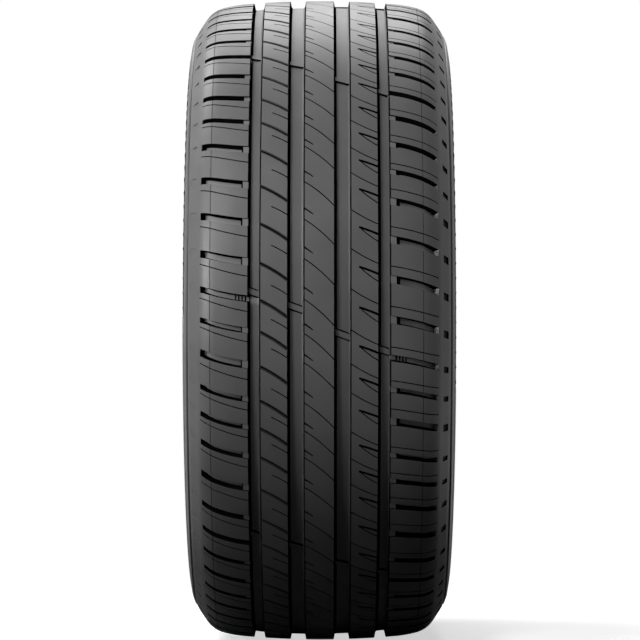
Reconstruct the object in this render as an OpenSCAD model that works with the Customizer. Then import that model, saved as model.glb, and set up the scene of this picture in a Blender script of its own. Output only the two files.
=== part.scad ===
// Car tyre, low profile, with an asymmetric all-season road tread.
// Millimetres. The origin is the wheel centre, the spin axis is +Y, and +Z is up.

/* [Tyre size] */
// Bore of the bead seats
seat_d = 486; // [430:1:540]
// Height of the section, from the bead seats to the middle of the tread
section_h = 91; // [86:1:120]
// Width over the sidewalls
section_w = 265.6; // [258:0.2:280]
// Width over the outer faces of the two beads
bead_span = 228.6; // [216:0.1:236]
// Thickness from the crown of the tread to the inner liner
crown_thickness = 15.5; // [14:0.5:18]
// Thickness of the upper sidewall
side_thickness = 8.2; // [7:0.1:10]

/* [Outside profile] */
// Radius of the crown arc across the tread
crown_r = 900; // [600:10:1500]
// Distance from the middle plane to the end of the crown arc
crown_half_w = 78; // [75:1:84]
// Radius of the arc between the crown and the tread edge
shoulder_r = 134; // [110:2:200]
// Distance from the middle plane to the end of the shoulder arc
shoulder_half_w = 100; // [96:1:104]
// Radius that rounds the tread edge
edge_r = 30; // [26:1:34]
// Slope of the buttress below the tread edge, in degrees
buttress_slope = 56; // [52:1:60]
// Radius of the upper sidewall
side_r = 54; // [50:1:60]
// Height of the raised rings on the sidewall
ring_h = 0.8; // [0.4:0.1:1.2]

/* [Bead and liner] */
// Nose radius of the rim protector
nose_r = 5; // [3:0.5:6]
// Radius of the hollow that takes the lip of the rim
lip_r = 9.5; // [7:0.5:11]
// Height of the lip hollow above the bead seat
lip_height = 11; // [9:0.5:13]
// Radius of the bead heel
heel_r = 6.5; // [4:0.5:7.5]
// Width of the bead base from heel face to toe
bead_base_w = 17.5; // [15:0.5:20]
// Width of the chamfer at the bead toe
toe_chamfer_w = 4; // [2:0.5:5]
// Rise of the chamfer at the bead toe
toe_chamfer_h = 2.5; // [1:0.5:4]
// Radius of the liner under the shoulder
liner_turn_r = 22; // [18:1:26]
// Slope at which the liner leaves the shoulder for the bead, in degrees
liner_turn_end = 127; // [120:1:130]

/* [Main grooves] */
// Depth of the four main grooves
groove_depth = 7.4; // [5:0.1:8.5]
// Inner edge of the inner grooves, from the middle plane
inner_groove_from = 14.3; // [12:0.1:17]
// Outer edge of the inner grooves
inner_groove_to = 30.5; // [28:0.1:33]
// Inner edge of the outer grooves
outer_groove_from = 56.4; // [54:0.1:59]
// Outer edge of the outer grooves
outer_groove_to = 68.4; // [66:0.1:70]
// Draft of the groove walls, in degrees
groove_draft = 16; // [8:1:20]
// Height of the wear bars above the groove floor
wear_bar_h = 1.6; // [1:0.1:2.4]
// Length of a wear bar round the tyre
wear_bar_length = 5.2; // [3:0.1:8]
// Pitches from one row of wear bars to the next
wear_bar_every = 8; // [4:4:16]

/* [Pitches] */
// Length of a short pitch round the tread
short_pitch = 28; // [26:0.2:30]
// Length of a middle pitch
middle_pitch = 32.6; // [31:0.2:35]
// Length of a long pitch
long_pitch = 39; // [36:0.2:42]
// Elevation at which the first pitch starts, in degrees
first_pitch_angle = 75.4; // [0:0.1:90]

/* [Shoulder slots] */
// Inner end of the slots, from the middle plane
slot_from = 74.2; // [72:0.1:78]
// Outer end of the slots
slot_to = 113.4; // [108:0.1:115]
// Depth of the slots
slot_depth = 4.4; // [3:0.1:6]
// Slot width as a share of its pitch
slot_share = 0.195; // [0.14:0.005:0.24]
// Depth of the step between a slot and the outer groove
step_depth = 1.1; // [0.6:0.1:2]
// Width of the step as a share of its pitch
step_share = 0.17; // [0.1:0.005:0.18]

/* [Sipes] */
// Width of the sipes
sipe_w = 1.1; // [0.8:0.1:1.6]
// Depth of the sipes in the ribs
sipe_depth = 4.2; // [2:0.1:6]
// Width of the bevelled mouth of a long sipe
bevel_w = 3.6; // [2.4:0.1:5]
// Depth of the bevelled mouth
bevel_depth = 1.3; // [0.8:0.1:2]
// Width of the short notches
notch_w = 2.4; // [1.6:0.1:3]
// Depth of the short notches
notch_depth = 2.6; // [1.6:0.1:3.6]

/* [Shoulder pockets] */
// Distance from the middle plane to the middle of the pockets
pocket_at = 121.6; // [120:0.1:122]
// Width of a pocket across the buttress
pocket_w = 6.2; // [4:0.1:7]
// Pocket length as a share of its pitch
pocket_share = 0.2; // [0.12:0.01:0.26]
// Depth of the pockets
pocket_depth = 2; // [1:0.1:3]

/* [Hidden] */
$fn = 128;

seat_r = seat_d / 2;
tread_r = seat_r + section_h;
side_half_w = section_w / 2;
bead_half_w = bead_span / 2;
above = 6;
overlap = 1;

// Mould pitches in order round the tread: S short, M middle, L long
pitch_run = "SSSSMMMSLLLLMSLSSMLMMSMSSSSMLLMSMLLSSMLMMSLLLMSSMMLSMLLSSMMLSSML";
pitch_count = len(pitch_run);

function pitch_length(i) =
    pitch_run[i] == "S" ? short_pitch : pitch_run[i] == "M" ? middle_pitch : long_pitch;

// Length run out before pitch i, and the full run
function run_before(i, done = 0, k = 0) =
    k == i ? done : run_before(i, done + pitch_length(k), k + 1);
full_run = run_before(pitch_count);

function pitch_turn(i) = 360 * pitch_length(i) / full_run;
function pitch_start(i) = first_pitch_angle - 360 * run_before(i) / full_run;
function round_tread(length) = length / tread_r * 180 / PI;

// Arc of a profile as [axial, radial] points; the slope is 0 at the crown and 90 on the sidewall
function profile_arc(centre, r, from, to, steps) =
    [for (i = [0:steps])
        let (a = from + (to - from) * i / steps)
        centre + r * [sin(a), cos(a)]];

// The tangent arcs of the outside profile, from the crown to the sidewall
crown_end = asin(crown_half_w / crown_r);
crown_centre = [0, tread_r - crown_r];
shoulder_end = asin(sin(crown_end) + (shoulder_half_w - crown_half_w) / shoulder_r);
shoulder_centre = crown_centre + (crown_r - shoulder_r) * [sin(crown_end), cos(crown_end)];
edge_centre = shoulder_centre + (shoulder_r - edge_r) * [sin(shoulder_end), cos(shoulder_end)];
buttress_top = edge_centre + edge_r * [sin(buttress_slope), cos(buttress_slope)];
side_centre_w = side_half_w - side_r;
buttress_run = (side_centre_w + side_r * sin(buttress_slope) - buttress_top[0]) / cos(buttress_slope);
buttress_foot = buttress_top + buttress_run * [cos(buttress_slope), -sin(buttress_slope)];
side_centre = buttress_foot - side_r * [sin(buttress_slope), cos(buttress_slope)];

// Radius of the tread surface at a distance from the middle plane
function arc_height(centre, r, w) = centre[1] + sqrt(r * r - pow(w - centre[0], 2));
function surface_r(w) =
    let (a = abs(w))
    a <= crown_half_w ? arc_height(crown_centre, crown_r, a)
        : a <= shoulder_half_w ? arc_height(shoulder_centre, shoulder_r, a)
        : arc_height(edge_centre, edge_r, a);

// Tread from the middle plane to the buttress; the crown's corners lie in the grooves
inner_groove_mid = (inner_groove_from + inner_groove_to) / 2;
outer_groove_mid = (outer_groove_from + outer_groove_to) / 2;
shoulder_mid = (crown_end + shoulder_end) / 2;
edge_mid = (shoulder_end + buttress_slope) / 2;
tread_line = concat(
    [[inner_groove_mid, tread_r]],
    [[outer_groove_mid, surface_r(outer_groove_mid)]],
    profile_arc(shoulder_centre, shoulder_r, shoulder_mid, shoulder_end, 1),
    profile_arc(edge_centre, edge_r, edge_mid, buttress_slope, 1));

// Sidewall with three raised rings
ring_slopes = [[66, 68.5], [71, 73], [76, 79]];
function ring_line(slopes) = concat(
    [side_centre + side_r * [sin(slopes[0]), cos(slopes[0])]],
    profile_arc(side_centre, side_r + ring_h, slopes[0] + 0.5, slopes[1] - 0.5, 1),
    [side_centre + side_r * [sin(slopes[1]), cos(slopes[1])]]);
side_line = concat(
    [buttress_foot],
    [for (slopes = ring_slopes) each ring_line(slopes)],
    profile_arc(side_centre, side_r, 81, 90, 2));

// Rim protector, lip hollow, heel and bead seat
lip_centre = [bead_half_w + lip_r, seat_r + lip_height];
nose_centre = [side_half_w - nose_r, lip_centre[1] + lip_r + nose_r];
heel_centre = [bead_half_w - heel_r, seat_r + heel_r];
toe = [bead_half_w - bead_base_w, seat_r + toe_chamfer_h];
bead_line = concat(
    profile_arc(nose_centre, nose_r, 90, 180, 4),
    profile_arc(lip_centre, lip_r, 360, 270, 4),
    profile_arc(heel_centre, heel_r, 90, 180, 4),
    [[toe[0] + toe_chamfer_w, seat_r]],
    [toe]);

// Inner liner, from the bead back to the middle plane
liner_crown_r = crown_r - crown_thickness;
liner_turn_w = side_half_w - side_thickness - liner_turn_r;
liner_slope = asin(liner_turn_w / (liner_crown_r - liner_turn_r));
liner_centre = crown_centre + (liner_crown_r - liner_turn_r) * [sin(liner_slope), cos(liner_slope)];
liner_line = concat(
    profile_arc(liner_centre, liner_turn_r, liner_turn_end, liner_slope, 8),
    profile_arc(crown_centre, liner_crown_r, liner_slope, 0, 3));

function mirrored(points) = [for (i = [len(points) - 1:-1:0]) [-points[i][0], points[i][1]]];
half_section = concat(tread_line, side_line, bead_line, liner_line);

// Turns a profile of [axial, radial] points about the spin axis
module turned(points) {
    rotate([-90, 0, 0])
        rotate_extrude()
            polygon([for (p = points) [p[1], p[0]]]);
}

// Turns what is drawn at the elevation 0 to its place round the tyre.
// share is the part of pitch i above it, and sweep its distance below that, in millimetres.
module at_pitch(i, share, sweep) {
    rotate([0, round_tread(sweep) + share * pitch_turn(i) - pitch_start(i), 0])
        children();
}

// Puts the local origin on the tread between two axial places, with X out of the surface
module on_surface(w0, w1) {
    lean = atan2(surface_r(w0) - surface_r(w1), w1 - w0);
    translate([(surface_r(w0) + surface_r(w1)) / 2, (w0 + w1) / 2, 0])
        rotate([0, 0, lean])
            children();
}

// Distance that a line has gone down after u of its length across the tread
function line_fall(u, across, slopes) =
    slopes[0] * u + (slopes[1] - slopes[0]) * u * u / (2 * across);

// Curved cut across the tread from w0 to w1, going down with its two end slopes.
// height is its size round the tyre, and depth its depth at both ends.
module curved_cut(i, share, sweep, w0, w1, slopes, height, depth) {
    across = w1 - w0;
    half_run = across / 2 / cos(atan2(surface_r(w0) - surface_r(w1), across));
    middle = line_fall(across / 2, across, slopes);
    end = line_fall(across, across, slopes);
    at_pitch(i, share, sweep + middle)
        on_surface(w0, w1)
            translate([-depth, 0, 0])
                rotate([90, 0, 90])
                    linear_extrude(depth + above)
                        polygon([
                            [-half_run, middle],
                            [0, 0],
                            [half_run, middle - end],
                            [half_run, middle - end - height],
                            [0, -height],
                            [-half_run, middle - height]]);
}

// Straight cut along a line of [share of the pitch, sweep, from, to, slope], with a section
// of [round the tyre, height above the surface] points
module straight_cut(i, line, section) {
    across = line[3] - line[2];
    slope = line[4];
    at_pitch(i, line[0], line[1] + slope * across / 2)
        on_surface(line[2], line[3])
            rotate([-atan(slope), 0, 0])
                rotate([-90, -90, 0])
                    linear_extrude(across * sqrt(1 + slope * slope), center = true)
                        polygon(section);
}

// Open V that is as wide as stated at the surface
function vee(width, depth) = [
    [0, -depth],
    [width / 2 * (1 + above / depth), above],
    [-width / 2 * (1 + above / depth), above]];

// A sipe with a bevelled mouth, lit on its lower flank
bevel_mouth = vee(bevel_w - sipe_w, bevel_depth);
bevel_section = [
    [0, -sipe_depth],
    [sipe_w / 2, -bevel_depth],
    [bevel_mouth[1][0] + sipe_w / 2, above],
    [bevel_mouth[2][0] - sipe_w / 2, above],
    [-sipe_w / 2, -bevel_depth]];

module groove_ring(from, to, side) {
    draft = tan(groove_draft);
    top = surface_r((from + to) / 2);
    turned([
        [side * (from - above * draft), top + above],
        [side * (to + above * draft), top + above],
        [side * (to - groove_depth * draft), top - groove_depth],
        [side * (from + groove_depth * draft), top - groove_depth]]);
}

// Wear bars: [axial place, share of the pitch, sweep, width across the groove]
inner_groove_w = inner_groove_to - inner_groove_from;
outer_groove_w = outer_groove_to - outer_groove_from;
wear_bar_slope = 20;
wear_bar_places = [
    [-outer_groove_mid, 0.25, 10.4, outer_groove_w],
    [-inner_groove_mid, 0.29, 23.8, inner_groove_w],
    [inner_groove_mid, 0.22, 52.4, inner_groove_w],
    [outer_groove_mid, 0.16, 70, outer_groove_w]];

module wear_bars() {
    for (i = [4:wear_bar_every:pitch_count - 1], place = wear_bar_places)
        at_pitch(i, place[1], place[2])
            translate([surface_r(place[0]) - groove_depth, place[0], 0])
                rotate([-wear_bar_slope, 0, 0])
                    cube([2 * wear_bar_h, 1.5 * place[3], wear_bar_length], center = true);
}

// The four grooves, which the wear bars bridge
module main_grooves() {
    difference() {
        for (side = [-1, 1]) {
            groove_ring(inner_groove_from, inner_groove_to, side);
            groove_ring(outer_groove_from, outer_groove_to, side);
        }
        wear_bars();
    }
}

// Open slots across the shoulders, which stop short of the outer grooves
left_slot = [0.35, 0, [0.36, 0.13]];
right_slot = [0.23, 72.1, [0.15, 0.37]];
module shoulder_slots() {
    for (i = [0:pitch_count - 1]) {
        height = slot_share * pitch_length(i);
        curved_cut(i, left_slot[0], left_slot[1], -slot_to, -slot_from, left_slot[2], height, slot_depth);
        curved_cut(i, right_slot[0], right_slot[1], slot_from, slot_to, right_slot[2], height, slot_depth);
    }
}

// Shallow steps that lead from the slots to the outer grooves
step_from = outer_groove_to - overlap;
step_to = slot_from + overlap;
left_step = [left_slot[0], 9.9, -step_to, -step_from, 0.17];
right_step = [right_slot[0], 71.5, step_from, step_to, 0.17];
module slot_steps() {
    for (i = [0:pitch_count - 1]) {
        height = step_share * pitch_length(i);
        section = [[0, -step_depth], [0, above], [-height, above], [-height, -step_depth]];
        straight_cut(i, left_step, section);
        straight_cut(i, right_step, section);
    }
}

// Lines across the three middle ribs, from groove to groove or ending in the rib.
// The forks are two lines that meet at a point.
centre_edge = inner_groove_from + overlap;
rib_from = inner_groove_to - overlap;
rib_to = outer_groove_from + overlap;
left_long_line = [0.49, 11, -rib_to, -rib_from, 0.6];
left_short_line = [1, 12.4, -46, -rib_from, 0.58];
centre_long_line = [1, 24.8, -centre_edge, centre_edge, 0.875];
centre_short_line = [0.7, 25.5, -centre_edge, -5.9, 0.73];
right_long_line = [1, 54.6, rib_from, rib_to, 0.55];
fork_point = [0.32, 60, 38.2];
fork_upper_line = concat(fork_point, [rib_to, 0.38]);
fork_lower_line = concat(fork_point, [rib_to, 0.75]);

// Sipes and notches of the three middle ribs, the longest with a bevelled mouth
module rib_sipes() {
    sipe_section = vee(sipe_w, sipe_depth);
    notch_section = vee(notch_w, notch_depth);
    for (i = [0:pitch_count - 1]) {
        straight_cut(i, left_long_line, bevel_section);
        straight_cut(i, left_short_line, sipe_section);
        straight_cut(i, centre_long_line, sipe_section);
        straight_cut(i, centre_short_line, notch_section);
        straight_cut(i, right_long_line, sipe_section);
        straight_cut(i, fork_upper_line, notch_section);
        straight_cut(i, fork_lower_line, sipe_section);
    }
}

// Pockets in the buttresses, near the outer ends of the slots
pocket_shift = 4.5;
module shoulder_pockets() {
    slot_run = slot_to - slot_from;
    right_end = right_slot[1] + line_fall(slot_run, slot_run, right_slot[2]);
    pocket_r = buttress_top[1] - (pocket_at - buttress_top[0]) * tan(buttress_slope);
    for (i = [0:pitch_count - 1]) {
        length = pocket_share * pitch_length(i);
        half = slot_share * pitch_length(i) / 2;
        places = [[-1, left_slot[0], half - pocket_shift], [1, right_slot[0], right_end + half + pocket_shift]];
        for (place = places)
            at_pitch(i, place[1], place[2])
                translate([pocket_r, place[0] * pocket_at, 0])
                    rotate([0, 0, place[0] * buttress_slope])
                        cube([2 * pocket_depth, pocket_w, length], center = true);
    }
}

module tyre() {
    color([0.09, 0.09, 0.09])
        difference() {
            turned(concat(half_section, mirrored(half_section)));
            main_grooves();
            shoulder_slots();
            slot_steps();
            rib_sipes();
            shoulder_pockets();
        }
}

tyre();
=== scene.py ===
import math

import bmesh
import bpy
import numpy as np
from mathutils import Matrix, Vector


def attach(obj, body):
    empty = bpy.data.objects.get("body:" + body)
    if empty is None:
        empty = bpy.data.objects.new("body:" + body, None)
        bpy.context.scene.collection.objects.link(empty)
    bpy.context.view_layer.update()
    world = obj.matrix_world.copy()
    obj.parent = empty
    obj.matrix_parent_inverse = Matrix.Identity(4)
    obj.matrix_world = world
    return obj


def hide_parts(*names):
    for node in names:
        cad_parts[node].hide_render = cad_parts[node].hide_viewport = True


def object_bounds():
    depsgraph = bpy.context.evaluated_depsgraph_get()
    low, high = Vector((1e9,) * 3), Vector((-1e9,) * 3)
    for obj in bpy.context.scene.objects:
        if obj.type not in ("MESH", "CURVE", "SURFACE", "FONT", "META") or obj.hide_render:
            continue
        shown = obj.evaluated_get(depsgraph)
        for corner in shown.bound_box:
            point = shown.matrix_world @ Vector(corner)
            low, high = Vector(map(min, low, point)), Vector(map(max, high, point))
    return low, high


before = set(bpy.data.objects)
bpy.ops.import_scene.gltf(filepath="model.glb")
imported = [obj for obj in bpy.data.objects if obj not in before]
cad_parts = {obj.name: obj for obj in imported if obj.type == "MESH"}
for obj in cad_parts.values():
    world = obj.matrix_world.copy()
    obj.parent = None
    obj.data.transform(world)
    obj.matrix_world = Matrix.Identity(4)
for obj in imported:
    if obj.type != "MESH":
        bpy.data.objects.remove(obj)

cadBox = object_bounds()
mm = 0.001  # the sizes below are in millimetres
inset = {"radius": 0.05, "halfWidth": 0.02}  # how far the rubber stays inside the frame's box

# the sizes that everything is cut from; the first two follow the frame
tyre = {
    "radius": (cadBox[1].z - cadBox[0].z) / 2 / mm - inset["radius"],
    "halfWidth": (cadBox[1].y - cadBox[0].y) / 2 / mm - inset["halfWidth"],
    "crownRadius": 900,
    "crownHalfWidth": 78,
    "shoulderRadius": 134,
    "shoulderHalfWidth": 100,
    "edgeRadius": 30,
    "buttressSlope": math.radians(56),
    "sideRadius": 54,
    "seatRadius": 243,
    "beadHalfWidth": 114.3,
    "linerThickness": 15.5,
}


# the profile is arcs that meet smoothly; a slope is 0 at the crown and 90 degrees on the sidewall
def arcPoint(centre, radius, slope):
    return (centre[0] + radius * math.sin(slope), centre[1] + radius * math.cos(slope))


def makeProfile(t):
    p = {}
    p["crownEnd"] = math.asin(t["crownHalfWidth"] / t["crownRadius"])
    p["crown"] = (0, t["radius"] - t["crownRadius"])
    p["shoulderEnd"] = math.asin(
        math.sin(p["crownEnd"]) + (t["shoulderHalfWidth"] - t["crownHalfWidth"]) / t["shoulderRadius"])
    p["shoulder"] = arcPoint(p["crown"], t["crownRadius"] - t["shoulderRadius"], p["crownEnd"])
    p["edge"] = arcPoint(p["shoulder"], t["shoulderRadius"] - t["edgeRadius"], p["shoulderEnd"])
    p["wingTop"] = arcPoint(p["edge"], t["edgeRadius"], t["buttressSlope"])
    sideCentre = t["halfWidth"] - t["sideRadius"]
    slope = t["buttressSlope"]
    run = (sideCentre + t["sideRadius"] * math.sin(slope) - p["wingTop"][0]) / math.cos(slope)
    p["wingFoot"] = (p["wingTop"][0] + run * math.cos(slope), p["wingTop"][1] - run * math.sin(slope))
    p["side"] = (sideCentre, p["wingFoot"][1] - t["sideRadius"] * math.cos(slope))
    return p


profile = makeProfile(tyre)


# radius and slope of the outer face at the axial place w
def surface(w):
    a = abs(w)
    for name, end in (("crown", tyre["crownHalfWidth"]), ("shoulder", tyre["shoulderHalfWidth"]),
                      ("edge", profile["wingTop"][0])):
        if a <= end:
            centre, radius = profile[name], tyre[name + "Radius"]
            slope = math.asin((a - centre[0]) / radius)
            return centre[1] + radius * math.cos(slope), slope
    if a <= profile["wingFoot"][0]:
        return (profile["wingTop"][1] - (a - profile["wingTop"][0]) * math.tan(tyre["buttressSlope"]),
                tyre["buttressSlope"])
    slope = math.asin(min(1, (a - profile["side"][0]) / tyre["sideRadius"]))
    return profile["side"][1] + tyre["sideRadius"] * math.cos(slope), slope


# short, middle and long pitches in the order of the mould
pitches = {
    "order": "SSSSMMMSLLLLMSLSSMLMMSMSSSSMLLMSMLLSSMLMMSLLLMSSMMLSMLLSSMMLSSML",
    "lengths": {"S": 28.0, "M": 32.6, "L": 39.0},
    "firstStart": 75.4,  # elevation at which the first pitch starts, in degrees
    "wearBarEvery": 8,
    "firstWearBar": 4,
}
pitchLengths = [pitches["lengths"][letter] for letter in pitches["order"]]
pitchTurns = [360 * length / sum(pitchLengths) for length in pitchLengths]
pitchStarts = [pitches["firstStart"] - sum(pitchTurns[:i]) for i in range(len(pitchTurns))]
allPitches = range(len(pitchLengths))
markedPitches = [i for i in allPitches if i % pitches["wearBarEvery"] == pitches["firstWearBar"]]


# a point in metres: its share of pitch i, its sweep further round, and its height over the rubber
def onTread(i, share, w, sweep, height):
    radius, slope = surface(w)
    lift = height * math.sin(slope)
    w += lift if w > 0 else -lift
    radius += height * math.cos(slope)
    turn = math.radians(pitchStarts[i] - share * pitchTurns[i]) - sweep / tyre["radius"]
    return (radius * math.cos(turn) * mm, w * mm, radius * math.sin(turn) * mm)


# which rubber a face gets: walls get painted shade, floors painted light and bevels a milder painted shade;
# the hidden faces close the band inside and are deleted after the cuts
tones = {"outer": 0, "wall": 1, "grooveFloor": 2, "hidden": 3, "slotFloor": 4, "grooveWall": 5, "paintedHalfShade": 6}


# empty slots, so that the cuts keep the tone of each face
def toneSlots(mesh):
    for _ in tones:
        mesh.materials.append(None)


def meshObject(name, verts, faces):
    mesh = bpy.data.meshes.new(name)
    toneSlots(mesh)
    mesh.from_pydata(verts, [], faces)
    obj = bpy.data.objects.new(name, mesh)
    bpy.context.scene.collection.objects.link(obj)
    return obj


def outwardFaces(obj):
    bm = bmesh.new()
    bm.from_mesh(obj.data)
    bmesh.ops.recalc_face_normals(bm, faces=bm.faces)
    bm.to_mesh(obj.data)
    bm.free()
    return obj


# turns a line of (axial, radius) points round the spin axis
def revolve(name, line, segments, closed, lineTones=None):
    count = len(line)
    verts, faces = [], []
    for k in range(segments):
        turn = 2 * math.pi * k / segments
        verts += [(r * math.cos(turn) * mm, w * mm, r * math.sin(turn) * mm) for w, r in line]
    spans = count if closed else count - 1
    faceTones = []
    for k in range(segments):
        here, there = k * count, (k + 1) % segments * count
        for j in range(spans):
            n = (j + 1) % count
            faces.append((here + j, here + n, there + n, there + j))
            faceTones.append(lineTones[j] if lineTones else tones["outer"])
    obj = meshObject(name, verts, faces)
    obj.data.polygons.foreach_set("material_index", faceTones)
    return outwardFaces(obj)


# points across the tread that fall from one slope to the other
def sweepPath(w0, w1, sweep, slopeFrom, slopeTo, steps):
    across = w1 - w0
    path = []
    for k in range(steps + 1):
        u = across * k / steps
        path.append((w0 + u, sweep + slopeFrom * u + (slopeTo - slopeFrom) * u * u / (2 * across)))
    return path


# closed strips that are cut from the tread together, so they have to stay apart from each other
class Cutters:
    def __init__(self, name):
        self.name, self.verts, self.faces, self.tones = name, [], [], []

    # spanTones names the rubber of each face of the section, and ends that of the two caps; faces left
    # unnamed are walls with painted shade, and darkStep is the one step along the path whose faces are all
    # such walls
    def strip(self, i, share, path, sections, square=True, spanTones=(), darkStep=None,
              ends=("wall", "wall")):
        first, count = len(self.verts), len(sections[0])
        for k, (w, sweep) in enumerate(path):
            before, after = path[max(k - 1, 0)], path[min(k + 1, len(path) - 1)]
            dw, ds = after[0] - before[0], after[1] - before[1]
            length = math.hypot(dw, ds)
            across = (-ds / length, dw / length) if square else (0, 1)
            for offset, height in sections[min(k, len(sections) - 1)]:
                place = (w + offset * across[0], sweep + offset * across[1])
                self.verts.append(onTread(i, share, *place, height))
        for k in range(len(path) - 1):
            here, there = first + k * count, first + (k + 1) * count
            for j in range(count):
                n = (j + 1) % count
                self.faces.append((here + j, here + n, there + n, there + j))
                plain = j >= len(spanTones) or k == darkStep
                self.tones.append(tones["wall" if plain else spanTones[j]])
        last = first + (len(path) - 1) * count
        self.faces.append(tuple(range(first + count - 1, first - 1, -1)))
        self.faces.append(tuple(range(last, last + count)))
        self.tones += [tones[end] for end in ends]

    def build(self):
        obj = meshObject(self.name, self.verts, self.faces)
        obj.data.polygons.foreach_set("material_index", self.tones)
        return outwardFaces(obj)


above = 4  # how far the cutters stand out of the rubber


def sipeSection(width, depth):
    half = width / 2
    return [(-half, above), (-half, -depth), (half, -depth), (half, above)]


def bevelSection(width, depth, upper, lower, mouthDepth):
    half = width / 2
    reach = above / mouthDepth
    return [(-half - upper * (1 + reach), above), (-half, -mouthDepth), (-half, -depth),
            (half, -depth), (half, -mouthDepth), (half + lower * (1 + reach), above)]


def slotSection(height, depth, upperDraft, lowerDraft):
    return [(-upperDraft * above, above), (upperDraft * depth, -depth),
            (height - lowerDraft * depth, -depth), (height + lowerDraft * above, above)]


def joinObjects(objects, name):
    bm = bmesh.new()
    for obj in objects:
        bm.from_mesh(obj.data)
    mesh = bpy.data.meshes.new(name)
    toneSlots(mesh)
    bm.to_mesh(mesh)
    bm.free()
    for obj in objects:
        bpy.data.objects.remove(obj)
    joined = bpy.data.objects.new(name, mesh)
    bpy.context.scene.collection.objects.link(joined)
    return joined


def cut(obj, tool):
    modifier = obj.modifiers.new(tool.name, "BOOLEAN")
    modifier.operation = "DIFFERENCE"
    modifier.solver = "MANIFOLD"
    modifier.object = tool
    evaluated = obj.evaluated_get(bpy.context.evaluated_depsgraph_get())
    mesh = bpy.data.meshes.new_from_object(evaluated)
    obj.modifiers.clear()
    old, obj.data = obj.data, mesh
    bpy.data.meshes.remove(old)
    bpy.data.objects.remove(tool)


grooves = {
    "inner": (14.3, 30.5),  # from the middle of the tyre, the same on both sides
    "outer": (56.45, 68.4),
    "depth": 7.2,
    "wallLean": 0.2,
    "footWidth": 1.5,  # the soft foot of each wall
    "footHeight": 2.2,
    "footBend": (0.42, 0.72),  # where the foot is bent, as shares of its width and height
    "rim": 0.35,  # the small bevel at the mouth
    "rimFoot": (0.1, 1.2),  # how far the bevel goes in, and how deep as a share of its width
    "mouthFlare": 0.9,
    "segments": 320,
}


# the groove's section, with a drafted wall and a soft foot on each side
def grooveLine(start, end, side):
    g = grooves
    points = []
    for w, sign in ((start, 1), (end, -1)):
        r = surface(w)[0]
        wallFoot = g["depth"] - g["footHeight"]
        lean = g["wallLean"] * wallFoot
        rimIn, rimDeep = g["rimFoot"]
        bendAcross, bendDown = g["footBend"]
        half = [(w - sign * (g["rim"] + above * g["mouthFlare"]), r + above),
                (w - sign * g["rim"], r),
                (w + sign * rimIn, r - g["rim"] * rimDeep),
                (w + sign * lean, r - wallFoot),
                (w + sign * (lean + g["footWidth"] * bendAcross), r - wallFoot - g["footHeight"] * bendDown),
                (w + sign * (lean + g["footWidth"]), r - g["depth"])]
        points += half if sign == 1 else half[::-1]
    return [(side * w, r) for w, r in points]


# painted shade on the walls and painted light on the floor; the foot of the wall that looks left, towards the
# left lamps, gets painted light as well
def grooveTones(side):
    dark = [tones["grooveWall"]] * 5
    pale = [tones["grooveFloor"]] * 2 + [tones["grooveWall"]] * 3
    halves = (dark, pale) if side == 1 else (pale[::-1], dark)
    return halves[0] + [tones["grooveFloor"]] + halves[1] + [tones["grooveWall"]]


wearBars = {
    "height": 1.6,
    "length": 5.2,
    "lean": 2.4,  # how far each side runs out at its foot
    "slope": 0.37,
    "reach": 2,  # how far a bar runs into the walls of its groove
    "sink": 1,  # how far its foot lies under the groove's floor
    # side, groove, share of the pitch, and sweep
    "places": ((-1, "outer", 0.25, 10.4), (-1, "inner", 0.29, 23.8),
               (1, "inner", 0.22, 52.4), (1, "outer", 0.16, 70)),
}


def cutGrooves(tread):
    rings = [revolve("grooveRing", grooveLine(*grooves[name], side), grooves["segments"], closed=True,
                     lineTones=grooveTones(side)) for name in ("inner", "outer") for side in (-1, 1)]
    joined = joinObjects(rings, "grooveRings")
    bars = Cutters("wearBars")
    b = wearBars
    top, foot = b["height"] - grooves["depth"], -grooves["depth"] - b["sink"]
    halfLength = b["length"] / 2
    footLength = halfLength + b["lean"]
    section = [(-footLength, foot), (-halfLength, top), (halfLength, top), (footLength, foot)]
    for i in markedPitches:
        for side, name, share, sweep in b["places"]:
            start, end = grooves[name]
            middle, half = side * (start + end) / 2, (end - start) / 2 + b["reach"]
            path = [(middle - half, sweep - b["slope"] * half), (middle + half, sweep + b["slope"] * half)]
            # the bar's sides get painted shade and its top painted light
            bars.strip(i, share, path, [section], spanTones=("wall", "slotFloor"))
    cut(joined, bars.build())
    cut(tread, joined)


slots = {
    "outerEnd": 114.1,
    "width": 0.2,  # as a share of the pitch
    "depth": 6.2,
    "stepDepth": 1.3,  # between the slot and its groove
    "upperDraft": 0.17,
    "lowerDraft": 0.19,
    "mouth": grooves["outer"][1] - 1.2,  # where a slot's step runs out in the groove
    "steps": 10,
    "left": {"share": 0.35, "sweep": -0.2, "slopes": (0.36, 0.13),
             "innerEnd": 75.5, "endWidth": 1.9, "run": 2},
    "right": {"share": 0.23, "sweep": 72.5, "slopes": (0.16, 0.37),
              "innerEnd": 77.6, "endWidth": 3.7},
}


# the left slots are walked from their outer end, the right ones from their groove
def slotPath(name):
    s, place = slots, slots[name]
    foot = place["innerEnd"] - place["endWidth"]
    if name == "left":
        path = sweepPath(-s["outerEnd"], -place["innerEnd"], place["sweep"], *place["slopes"], s["steps"])
        slope, inner = place["slopes"][1], path[-1][1]
        return path + [(-foot, inner + slope * place["endWidth"]),
                       (-s["mouth"], inner + slope * (foot - s["mouth"] + place["run"]))]
    path = sweepPath(place["innerEnd"], s["outerEnd"], place["sweep"], *place["slopes"], s["steps"])
    slope, inner = place["slopes"][0], path[0][1]
    return [(s["mouth"], inner - slope * (place["innerEnd"] - s["mouth"])),
            (foot, inner - slope * place["endWidth"])] + path


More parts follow.
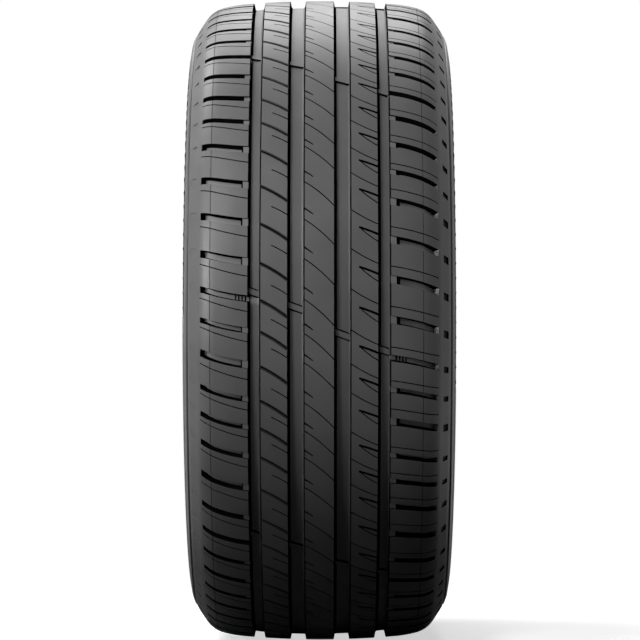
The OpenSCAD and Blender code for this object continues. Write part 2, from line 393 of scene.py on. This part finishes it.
# beside a wear bar a slot keeps its depth up to the groove; elsewhere its floor comes up to the step
def cutSlots(tread):
    tool = Cutters("shoulderSlots")
    s = slots
    # slot walls get painted shade and slot floors painted light; where a slot is only stepped, the step is
    # all painted-shade wall
    walls = ("wall", "slotFloor", "wall")
    left, right = slotPath("left"), slotPath("right")
    for i in allPitches:
        height = s["width"] * pitchLengths[i]
        marked = i in markedPitches
        full, shallow = (slotSection(height, depth, s["upperDraft"], s["lowerDraft"])
                         for depth in (s["depth"], s["stepDepth"]))
        step = [full if marked else shallow] * 2
        deep = [full] * (s["steps"] + 1)
        tool.strip(i, s["left"]["share"], left, deep + step, square=False, spanTones=walls,
                   darkStep=None if marked else s["steps"])
        # the right slot's outer end cap faces the left lamps and gets painted light
        tool.strip(i, s["right"]["share"], right, step + deep, square=False, spanTones=walls,
                   darkStep=None if marked else 1, ends=("wall", "slotFloor"))
    cut(tread, tool.build())


# plain short bars in the floor of the slots beside the wear bars
slotBars = {
    "count": 4,
    "left": 71.0,  # where the first bar stands
    "right": 74.0,
    "step": 3.2,
    "width": 1.5,
    "depth": 1.2,
    "margin": 0.12,  # what stays free above and below, as a share of the slot's width
}


def cutBars(tread):
    tool = Cutters("slotBars")
    b = slotBars
    half, deep = b["width"] / 2, -slots["depth"] - b["depth"]
    section = [(-half, above), (-half, deep), (half, deep), (half, above)]
    for i in markedPitches:
        height = slots["width"] * pitchLengths[i]
        for side, name in ((-1, "left"), (1, "right")):
            s = slots[name]
            first, last = s["slopes"]
            for k in range(b["count"]):
                w = side * (b[name] + b["step"] * k)
                along = w + slots["outerEnd"] if side < 0 else w - s["innerEnd"]
                fall = first * along
                if along > 0:
                    fall += (last - first) * along * along / (2 * (slots["outerEnd"] - s["innerEnd"]))
                low, high = (s["sweep"] + fall + share * height for share in (b["margin"], 1 - b["margin"]))
                # every face of these bars gets the painted-shade wall tone
                tool.strip(i, s["share"], [(w, low), (w, high)], [section])
    cut(tread, tool.build())


runOut = 1  # how far a sipe runs out into its groove
centreEdge = grooves["inner"][0] + runOut
ribEdges = (grooves["inner"][1] - runOut, grooves["outer"][0] + runOut)
shoulderEdge = grooves["outer"][1] - runOut
# each line has its share of the pitch, its two ends, its sweep at the first end, its two slopes and
# its number of steps
sipes = {
    "width": 1.05,
    "depth": 4.5,
    "shoulderDepth": 3.2,
    "narrow": 0.6,  # the inner end of a stub, as a share of the width
    "leftShoulder": (0.785, -114.4, -shoulderEdge, -2.6, 0.44, 0.17, 10),
    "rightShoulder": (1, shoulderEdge, 114.6, 71.0, 0.14, 0.30, 10),
    "leftRib": (0.49, -ribEdges[1], -ribEdges[0], 9.9, 0.46, 0.77, 8),
    "centre": (1, -centreEdge, centreEdge, 24.9, 0.64, 1.12, 8),
    "rightRib": (1, ribEdges[0], ribEdges[1], 54.0, 0.70, 0.40, 8),
    "leftShort": (1, -46, -ribEdges[0], 12.1, 0.46, 0.70, 5),
    "centreStub": (0.70, -centreEdge, -5.9, 25.2, 0.70, 0.76, 1),
    "prong": (0.32, 38.2, ribEdges[1], 59.5, 0.30, 0.45, 5),
    "hairpin": (0.32, 37.9, ribEdges[1], 59.3, 1.0, 0.54, 6),
}
# upper and lower width and depth of the bevels
bevels = {
    "rib": (1.0, 1.5, 1.2),
    "stub": (0.3, 1.6, 1.6),
    "stubEnd": (0.1, 0.2, 1.6),
    "prong": (0.3, 0.9, 0.9),
}


def cutSipes(tread):
    width, depth = sipes["width"], sipes["depth"]
    plain, shallow = [sipeSection(width, depth)], [sipeSection(width, sipes["shoulderDepth"])]
    rib, prong = [bevelSection(width, depth, *bevels["rib"])], [bevelSection(width, depth, *bevels["prong"])]
    stub = [bevelSection(width, depth, *bevels["stub"]),
            bevelSection(width * sipes["narrow"], depth, *bevels["stubEnd"])]
    # lines that meet are cut one after the other
    rounds = {
        "longSipes": {"leftShoulder": shallow, "rightShoulder": shallow, "leftRib": rib, "centre": plain,
                      "rightRib": plain},
        "shortSipes": {"leftShort": plain, "centreStub": stub, "prong": prong},
        "hairpins": {"hairpin": plain},
    }
    for name, lines in rounds.items():
        tool = Cutters(name)
        for i in allPitches:
            for line, sections in lines.items():
                share, *path = sipes[line]
                # sipe walls get painted shade; the bevels of the left-rib sipes get the milder painted shade
                faceTones = ("paintedHalfShade", "wall", "wall", "wall", "paintedHalfShade") if line == "leftRib" else ()
                tool.strip(i, share, sweepPath(*path), sections, spanTones=faceTones)
        cut(tread, tool.build())


# small pockets outside the slots; the floor of the left ones comes up outwards, so it faces the front
pockets = {
    "from": 119.4,
    "to": 124.2,
    "length": 0.2,  # as a share of the pitch
    "depth": 1.7,
    "flush": 0.1,
    "skew": 0.35,
    "shift": 4.5,  # from the middle of the slot
}


def cutPockets(tread):
    tool = Cutters("pockets")
    p = pockets
    left, right = slots["left"], slots["right"]
    rightFoot = right["sweep"] + sum(right["slopes"]) / 2 * (slots["outerEnd"] - right["innerEnd"])
    skew = p["skew"] * (p["to"] - p["from"]) / 2
    for i in allPitches:
        half = p["length"] * pitchLengths[i] / 2
        slotHalf = slots["width"] * pitchLengths[i] / 2
        deep, flush = (sipeSection(2 * half, depth) for depth in (p["depth"], p["flush"]))
        middle = slotHalf - p["shift"]
        path = [(-p["to"], middle - skew), (-p["from"], middle + skew)]
        tool.strip(i, left["share"], path, [flush, deep], square=False, spanTones=("outer",) * 3)
        middle = rightFoot + slotHalf + p["shift"]
        path = [(p["from"], middle - skew), (p["to"], middle + skew)]
        # the right pockets' walls and ends get painted shade and their floors the milder painted shade; the
        # left ones keep the tread's own rubber except for their painted-shade ends
        tool.strip(i, right["share"], path, [deep], square=False, spanTones=("wall", "paintedHalfShade"))
    cut(tread, tool.build())


# a fine ring on each shoulder, where the two parts of the mould meet, painted darker as shade in its crease
mouldLine = {"left": 104.6, "right": 99.6, "width": 0.6, "depth": 0.4}


def cutMouldLines(tread):
    m = mouldLine
    rings = []
    for side, name in ((-1, "left"), (1, "right")):
        r = surface(m[name])[0]
        near, far = (side * (m[name] + half * m["width"]) for half in (-0.5, 0.5))
        line = [(near, r + above), (near, r - m["depth"]), (far, r - m["depth"]), (far, r + above)]
        rings.append(revolve("mouldRing", line, grooves["segments"], closed=True,
                             lineTones=[tones["paintedHalfShade"]] * len(line)))
    cut(tread, joinObjects(rings, "mouldRings"))


band = {
    "reach": 124.8,  # where the tread band ends and the sidewall starts
    "wingStep": 2,
    "crownSteps": 6,
    "shoulderSteps": 5,
    "edgeSteps": 8,
    "endThickness": (11, 7),
    "backing": ((100, 311), (60, 318)),  # the hidden line inside the rubber
}


# outer face from edge to edge, closed by a hidden line inside the rubber
def treadLine():
    b = band
    crown, shoulder = tyre["crownHalfWidth"], tyre["shoulderHalfWidth"]
    across = [crown * k / b["crownSteps"] for k in range(1, b["crownSteps"] + 1)]
    across += [crown + (shoulder - crown) * k / b["shoulderSteps"] for k in range(1, b["shoulderSteps"] + 1)]
    for k in range(1, b["edgeSteps"] + 1):
        slope = profile["shoulderEnd"] + (tyre["buttressSlope"] - profile["shoulderEnd"]) * k / b["edgeSteps"]
        across.append(profile["edge"][0] + tyre["edgeRadius"] * math.sin(slope))
    across += [profile["wingTop"][0] + b["wingStep"], profile["wingFoot"][0], b["reach"]]
    right = [(w, surface(w)[0]) for w in across]
    outer = [(-w, r) for w, r in right[::-1]] + [(0, tyre["radius"])] + right
    endIn, endDown = b["endThickness"]
    back = [(right[-1][0] - endIn, right[-1][1] - endDown), *b["backing"]]
    hidden = back + [(-w, r) for w, r in back[::-1]]
    return outer + hidden, [tones["outer"]] * (len(outer) - 1) + [tones["hidden"]] * (len(hidden) + 1)


def buildTread():
    line, lineTones = treadLine()
    tread = revolve("treadBand", line, grooves["segments"], closed=True, lineTones=lineTones)
    cutGrooves(tread)
    cutSlots(tread)
    cutBars(tread)
    cutSipes(tread)
    cutPockets(tread)
    cutMouldLines(tread)
    return tread


def removeHidden(obj):
    bm = bmesh.new()
    bm.from_mesh(obj.data)
    hidden = [f for f in bm.faces if f.material_index == tones["hidden"]]
    bmesh.ops.delete(bm, geom=hidden, context="FACES")
    bm.to_mesh(obj.data)
    bm.free()


# outer faces follow the true profile, groove faces stay round, and the walls of cuts stay flat
def smoothNormals(obj):
    mesh = obj.data
    mesh.polygons.foreach_set("use_smooth", [True] * len(mesh.polygons))
    corners = len(mesh.loops)
    vertexOf = np.empty(corners, np.int32)
    mesh.loops.foreach_get("vertex_index", vertexOf)
    co = np.empty(len(mesh.vertices) * 3, np.float32)
    mesh.vertices.foreach_get("co", co)
    co = co.reshape(-1, 3)[vertexOf].astype(float)
    sizes = np.empty(len(mesh.polygons), np.int32)
    mesh.polygons.foreach_get("loop_total", sizes)
    faceNormal = np.empty(len(mesh.polygons) * 3, np.float32)
    mesh.polygons.foreach_get("normal", faceNormal)
    tone = np.empty(len(mesh.polygons), np.int32)
    mesh.polygons.foreach_get("material_index", tone)
    normal = np.repeat(faceNormal.reshape(-1, 3), sizes, axis=0).astype(float)
    tone = np.repeat(tone, sizes)
    out = co * [1, 0, 1]
    out /= np.linalg.norm(out, axis=1)[:, None]
    axial = normal[:, 1].copy()
    known = {}
    isOuter = tone == tones["outer"]
    ws = np.round(co[:, 1] / mm, 3)
    for w in np.unique(ws[isOuter]):
        known[w] = math.copysign(math.sin(surface(w)[1]), w)
    axial[isOuter] = [known[w] for w in ws[isOuter]]
    isRound = isOuter | (tone == tones["grooveFloor"]) | (tone == tones["grooveWall"])
    radial = np.sqrt(np.clip(1 - axial ** 2, 0, 1)) * np.sign((normal * out).sum(1))
    rounded = out * radial[:, None]
    rounded[:, 1] = axial
    normal[isRound] = rounded[isRound]
    mesh.normals_split_custom_set(normal.tolist())


rubber = {
    "tread": {"dark": 0.052, "light": 0.066, "roughness": (0.42, 0.52), "specular": 0.4, "grain": 0.10},
    # near-black and without gloss: painted shade for the walls of cuts and the sidewall's recessed rings
    "paintedShade": {"dark": 0.002, "light": 0.005, "roughness": (0.7, 0.8), "specular": 0, "grain": 0.10},
    # darker than the tread: a milder painted shade on the sipe bevels, the mould lines and the right pockets
    "paintedHalfShade": {"dark": 0.02, "light": 0.03, "roughness": (0.6, 0.7), "specular": 0.1, "grain": 0.10},
    # paler than the tread: painted light that makes up for the shade in groove and slot floors
    "floor": {"dark": 0.085, "light": 0.105, "roughness": (0.5, 0.6), "specular": 0.4, "grain": 0.10},
    "side": {"dark": 0.05, "light": 0.064, "roughness": (0.4, 0.52), "specular": 0.4, "grain": 0.14},
    "liner": {"dark": 0.05, "light": 0.07, "roughness": (0.5, 0.7), "specular": 0.2, "grain": 0.3},
}


# noise sizes that all the rubbers share
texture = {
    "patchScale": 18,  # slow change of tone from patch to patch
    "patchDetail": 5,
    "patchSpan": (0.35, 0.68),
    "glossScale": 60,
    "glossDetail": 4,
    "grainScale": 900,  # fine grain of the mould
    "grainDetail": 3,
    "grainDepth": 0.0004,  # metres
}


def makeRubber(name, look):
    material = bpy.data.materials.new(name)
    material.use_nodes = True
    nodes, links = material.node_tree.nodes, material.node_tree.links
    shader = nodes["Principled BSDF"]
    shader.inputs["Specular IOR Level"].default_value = look["specular"]
    place = nodes.new("ShaderNodeTexCoord")

    def noise(kind):
        node = nodes.new("ShaderNodeTexNoise")
        node.inputs["Scale"].default_value = texture[kind + "Scale"]
        node.inputs["Detail"].default_value = texture[kind + "Detail"]
        links.new(place.outputs["Object"], node.inputs["Vector"])
        return node.outputs["Fac"]

    tone = nodes.new("ShaderNodeValToRGB")
    levels = (look["dark"], look["light"])
    for stop, position, level in zip(tone.color_ramp.elements, texture["patchSpan"], levels):
        stop.position = position
        stop.color = (level, level, level, 1)
    links.new(noise("patch"), tone.inputs["Fac"])
    links.new(tone.outputs["Color"], shader.inputs["Base Color"])

    spread = nodes.new("ShaderNodeMapRange")
    spread.inputs["To Min"].default_value, spread.inputs["To Max"].default_value = look["roughness"]
    links.new(noise("gloss"), spread.inputs["Value"])
    links.new(spread.outputs["Result"], shader.inputs["Roughness"])

    bump = nodes.new("ShaderNodeBump")
    bump.inputs["Strength"].default_value = look["grain"]
    bump.inputs["Distance"].default_value = texture["grainDepth"]
    links.new(noise("grain"), bump.inputs["Height"])
    links.new(bump.outputs["Normal"], shader.inputs["Normal"])
    return material


treadRubber = makeRubber("treadRubber", rubber["tread"])
paintedShadeRubber = makeRubber("paintedShadeRubber", rubber["paintedShade"])
paintedHalfShadeRubber = makeRubber("paintedHalfShadeRubber", rubber["paintedHalfShade"])
paintedLightRubber = makeRubber("paintedLightRubber", rubber["floor"])
sideRubber = makeRubber("sideRubber", rubber["side"])
linerRubber = makeRubber("linerRubber", rubber["liner"])


def dress(obj, materials):
    while len(obj.data.materials) > len(materials):
        obj.data.materials.pop()
    for k, material in enumerate(materials):
        obj.data.materials[k] = material
    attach(obj, "root")
    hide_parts("tyre")


tread = buildTread()
removeHidden(tread)
smoothNormals(tread)
dress(tread, [treadRubber, paintedShadeRubber, paintedLightRubber, paintedShadeRubber, paintedLightRubber, paintedShadeRubber, paintedHalfShadeRubber])
print("tread band:", len(tread.data.polygons), "faces,",
      sum(len(p.vertices) - 2 for p in tread.data.polygons), "triangles")


# places on the side arc are given by its slope in degrees
sidewall = {
    "segments": 720,
    "edgeSlopes": (62.6, 63.4, 65.4, 66.2, 69.6, 72.8, 73.6, 75.0, 75.6, 77.0,
                   77.8, 79.0, 80.2, 84.6, 85.8, 88, 90),
    # the recessed rings below are painted near-black as shade
    "darkBands": ((63.2, 65.6), (74.8, 77.2)),  # recessed rings
    "bandDepth": 0.7,
    "ribBand": (66, 73),
    "ribHeight": 0.5,
    # the sunk blocks in this band are painted near-black as shade
    "blockBand": (79, 85.8),  # short plain recesses between the panels
    "blockEvery": 6,  # segments from one to the next
    "blockLength": 5,
    "groundDrop": 0.7,  # how far they lie below the panels
    "panelTop": 77.4,
    "panels": {-1: ((-84, 1.5), (96, 178)), 1: ((-92, -12.6), (101, 168))},  # in degrees of elevation
    "panelSlant": 0.12,  # degrees round the tyre for each degree of slope
}


# height of the side over its plain arc, for segment k of the turn
def sideLift(slope, k, side):
    s = sidewall
    lift = 0
    for low, high in s["darkBands"]:
        if low < slope < high:
            lift -= s["bandDepth"]
    low, high = s["ribBand"]
    if low <= slope <= high:
        lift += s["ribHeight"]
    if slope > s["panelTop"]:
        turn = 360 * k / s["segments"] + s["panelSlant"] * (slope - s["panelTop"])
        inPanel = any((turn - start) % 360 < stop - start for start, stop in s["panels"][side])
        if not inPanel and k % s["blockEvery"] < s["blockLength"]:
            lift -= s["groundDrop"]
    return lift


bead = {
    "noseRadius": 5,  # rim protector
    "noseDrop": 1.5,
    "noseSteps": 7,
    "lipRadius": 9.5,  # where the rim flange lies
    "lipHeight": 11,
    "lipSteps": 8,
    "heelRadius": 6.5,
    "heelSteps": 6,
    "toe": 97,
    "toeFlat": 4,
    "toeRise": 2.5,
}
toePoint = (bead["toe"], tyre["seatRadius"] + bead["toeRise"])


# the profile from the tread edge to the toe; the side arc keeps its slopes for the relief
def sideLine():
    s = sidewall
    centre, radius = profile["side"], tyre["sideRadius"]
    startSlope = math.degrees(surface(band["reach"])[1])
    slopes = (startSlope,) + s["edgeSlopes"]
    arc = [(*arcPoint(centre, radius, math.radians(slope)), slope) for slope in slopes]
    noseR, lipR, heelR = bead["noseRadius"], bead["lipRadius"], bead["heelRadius"]
    lip = (tyre["beadHalfWidth"] + lipR, tyre["seatRadius"] + bead["lipHeight"])
    nose = (tyre["halfWidth"] - noseR, lip[1] + lipR + noseR)
    heel = (tyre["beadHalfWidth"] - heelR, tyre["seatRadius"] + heelR)
    lower = [(arc[-1][0], nose[1] + bead["noseDrop"])]
    # each arc with its first and last slope
    for c, r, a0, a1, n in ((nose, noseR, 90, 180, bead["noseSteps"]),
                            (lip, lipR, 360, 270, bead["lipSteps"]),
                            (heel, heelR, 90, 180, bead["heelSteps"])):
        lower += [arcPoint(c, r, math.radians(a0 + (a1 - a0) * k / n)) for k in range(n + 1)]
    lower += [(bead["toe"] + bead["toeFlat"], tyre["seatRadius"]), toePoint]
    return arc, lower


def buildSide(side):
    s = sidewall
    arc, lower = sideLine()
    centre = profile["side"]
    verts, faces, faceTones = [], [], []
    count = len(arc) + len(lower)
    for k in range(s["segments"]):
        turn = 2 * math.pi * k / s["segments"]
        line = []
        for w, r, slope in arc:
            lift = sideLift(slope, k, side) / tyre["sideRadius"]
            line.append((w + (w - centre[0]) * lift, r + (r - centre[1]) * lift))
        line[0] = arc[0][:2]
        for w, r in line + lower:
            verts.append((r * math.cos(turn) * mm, side * w * mm, r * math.sin(turn) * mm))
    for k in range(s["segments"]):
        here, there = k * count, (k + 1) % s["segments"] * count
        for j in range(count - 1):
            faces.append((here + j, here + j + 1, there + j + 1, there + j))
            middle = (arc[j][2] + arc[j + 1][2]) / 2 if j + 1 < len(arc) else 0
            low, high = s["blockBand"]
            sunk = min(sideLift(middle, n, side) for n in (k, k + 1)) < 0
            inBand = any(start < middle < stop for start, stop in s["darkBands"])
            # recessed rings and sunk blocks take the near-black rubber: painted shade
            dark = inBand or sunk and low < middle < high
            faceTones.append(tones["wall" if dark else "outer"])
    wall = meshObject("sidewall", verts, faces)
    wall.data.polygons.foreach_set("material_index", faceTones)
    return outwardFaces(wall)


liner = {
    "edgeRadius": 22,
    "sideThickness": 8.2,
    "lowestSlope": 127,  # degrees
    "edgeSteps": 14,
    "crownSteps": 6,
    "segments": 256,
}


def buildLiner():
    turn, low = liner["edgeRadius"], math.radians(liner["lowestSlope"])
    crown = tyre["crownRadius"] - tyre["linerThickness"]
    middle = tyre["halfWidth"] - liner["sideThickness"] - turn
    slope = math.asin(middle / (crown - turn))
    centre = arcPoint(profile["crown"], crown - turn, slope)
    n, m = liner["edgeSteps"], liner["crownSteps"]
    half = [toePoint] + [arcPoint(centre, turn, low + (slope - low) * k / n) for k in range(n + 1)]
    half += [arcPoint(profile["crown"], crown, slope * (1 - k / m)) for k in range(1, m + 1)]
    line = half + [(-w, r) for w, r in half[-2::-1]]
    return revolve("innerLiner", line, liner["segments"], closed=False)


sharpAngle = 35  # edges that bend more than this stay sharp, in degrees


def finishSmooth(obj):
    mesh = obj.data
    mesh.polygons.foreach_set("use_smooth", [True] * len(mesh.polygons))
    mesh.set_sharp_from_angle(angle=math.radians(sharpAngle))


# turns the faces over if the test face looks the wrong way
def faceAway(obj, test):
    bm = bmesh.new()
    bm.from_mesh(obj.data)
    bm.faces.ensure_lookup_table()
    if test(bm):
        bmesh.ops.reverse_faces(bm, faces=bm.faces)
    bm.to_mesh(obj.data)
    bm.free()


for side, name in ((-1, "leftSidewall"), (1, "rightSidewall")):
    wall = buildSide(side)
    wall.name = name
    faceAway(wall, lambda bm: bm.faces[0].normal.y * side < 0)
    finishSmooth(wall)
    dress(wall, [sideRubber, paintedShadeRubber])
innerLiner = buildLiner()


def linerLooksOut(bm):
    face = max(bm.faces, key=lambda f: math.hypot(*f.calc_center_median().xz))
    c = face.calc_center_median()
    return face.normal.x * c.x + face.normal.z * c.z > 0


faceAway(innerLiner, linerLooksOut)
finishSmooth(innerLiner)
dress(innerLiner, [linerRubber])
print("sidewalls and liner")


def lookAt(obj, target):
    obj.rotation_euler = (Vector(target) - obj.location).to_track_quat("-Z", "Y").to_euler()


# in metres, degrees and millimetres
camera = {"distance": 3.507, "turn": 0.118, "lens": 187.65, "sensor": 36, "aim": (0, 0, 0.0003)}
cameraData = bpy.data.cameras.new("camera")
cameraData.sensor_width = camera["sensor"]
cameraData.lens = camera["lens"]
cameraObject = bpy.data.objects.new("camera", cameraData)
reach, cameraTurn = camera["distance"], math.radians(camera["turn"])
cameraObject.location = (reach * math.cos(cameraTurn), reach * math.sin(cameraTurn), 0)
lookAt(cameraObject, camera["aim"])
bpy.context.scene.collection.objects.link(cameraObject)
bpy.context.scene.camera = cameraObject

# soft lamps high on the left, above and behind; the right is left to the pale surroundings
studio = {
    "lamps": {
        "leftTopBack": {"at": (-1.0, -1.6, 2.2), "size": 1.4, "power": 45},
        "nearTopBack": {"at": (-0.7, 0, 1.3), "size": 1.0, "power": 13.2},
        "softLeft": {"at": (1.6, -1.2, 0.9), "size": 0.8, "power": 0.9,
                     "spread": 30, "aim": (0.2, -0.1, 0.17)},
        "softHigh": {"at": (1.5, -0.9, 1.6), "size": 0.8, "power": 0.8,
                     "spread": 30, "aim": (0.2, -0.05, 0.22)},
        "softSide": {"at": (1.0, -1.8, 0.5), "size": 0.6, "power": 1.2,
                     "spread": 25, "aim": (0.25, -0.1, 0.13)},
    },
    "floorSize": 6,
    "floorGap": 0.0005,
    "floorColour": 0.85,
    "floorRoughness": 0.9,
    "floorBounce": 0.10,  # what the floor throws back on the tyre
    "floorLift": 0.6,
    "shadowReach": (0.3, 0.9),  # from here the floor fades to plain white
}


def addArea(name, at, size, power, spread=180, aim=(0, 0, 0)):
    light = bpy.data.lights.new(name, "AREA")
    light.shape = "DISK"
    light.size = size
    light.energy = power
    light.spread = math.radians(spread)
    obj = bpy.data.objects.new(name, light)
    obj.location = at
    lookAt(obj, aim)
    bpy.context.scene.collection.objects.link(obj)


for name, lamp in studio["lamps"].items():
    addArea(name, **lamp)


# 1 for what the camera sees, itself or in a gloss or glass, and 0 for the light that things throw
def seenFactor(nodes, links):
    path = nodes.new("ShaderNodeLightPath")
    last = path.outputs["Is Camera Ray"]
    for name in ("Is Glossy Ray", "Is Transmission Ray"):
        larger = nodes.new("ShaderNodeMath")
        larger.operation = "MAXIMUM"
        links.new(last, larger.inputs[0])
        links.new(path.outputs[name], larger.inputs[1])
        last = larger.outputs[0]
    return path.outputs["Is Camera Ray"], last


world = bpy.data.worlds.new("studio")
bpy.context.scene.world = world
world.use_nodes = True
nodes, links = world.node_tree.nodes, world.node_tree.links
background = nodes["Background"]
background.inputs["Color"].default_value = (1, 1, 1, 1)
links.new(seenFactor(nodes, links)[1], background.inputs["Strength"])


# pale floor with the tyre's shadow near its foot, plain white further out
def buildFloor():
    size = studio["floorSize"]
    z = cadBox[0].z - studio["floorGap"]
    corners = [(-size, -size, z), (size, -size, z), (size, size, z), (-size, size, z)]
    floor = meshObject("floor", corners, [(0, 1, 2, 3)])
    material = bpy.data.materials.new("paleFloor")
    material.use_nodes = True
    nodes, links = material.node_tree.nodes, material.node_tree.links
    shader = nodes["Principled BSDF"]
    shader.inputs["Roughness"].default_value = studio["floorRoughness"]
    shader.inputs["Specular IOR Level"].default_value = 0
    cameraOnly, seen = seenFactor(nodes, links)
    colour = nodes.new("ShaderNodeMix")
    colour.data_type = "RGBA"  # its two colours are inputs 6 and 7, its result is output 2
    colour.inputs[6].default_value = (studio["floorBounce"],) * 3 + (1,)
    colour.inputs[7].default_value = (studio["floorColour"],) * 3 + (1,)
    links.new(cameraOnly, colour.inputs[0])
    links.new(colour.outputs[2], shader.inputs["Base Color"])
    shader.inputs["Emission Color"].default_value = (1, 1, 1, 1)
    lift = nodes.new("ShaderNodeMapRange")
    lift.inputs["To Max"].default_value = studio["floorLift"]
    links.new(cameraOnly, lift.inputs["Value"])
    links.new(lift.outputs["Result"], shader.inputs["Emission Strength"])
    white = nodes.new("ShaderNodeEmission")
    links.new(seen, white.inputs["Strength"])
    place = nodes.new("ShaderNodeTexCoord")
    reach = nodes.new("ShaderNodeVectorMath")
    reach.operation = "LENGTH"
    flat = nodes.new("ShaderNodeVectorMath")
    flat.operation = "MULTIPLY"
    flat.inputs[1].default_value = (1, 1, 0)
    links.new(place.outputs["Object"], flat.inputs[0])
    links.new(flat.outputs["Vector"], reach.inputs[0])
    fade = nodes.new("ShaderNodeMapRange")
    fade.interpolation_type = "SMOOTHSTEP"
    fade.inputs["From Min"].default_value, fade.inputs["From Max"].default_value = studio["shadowReach"]
    links.new(reach.outputs["Value"], fade.inputs["Value"])
    blend = nodes.new("ShaderNodeMixShader")
    links.new(fade.outputs["Result"], blend.inputs["Fac"])
    links.new(shader.outputs["BSDF"], blend.inputs[1])
    links.new(white.outputs["Emission"], blend.inputs[2])
    links.new(blend.outputs["Shader"], nodes["Material Output"].inputs["Surface"])
    floor.data.materials[0] = material


buildFloor()
bpy.context.scene.view_settings.view_transform = "Standard"
print("camera, floor and light")
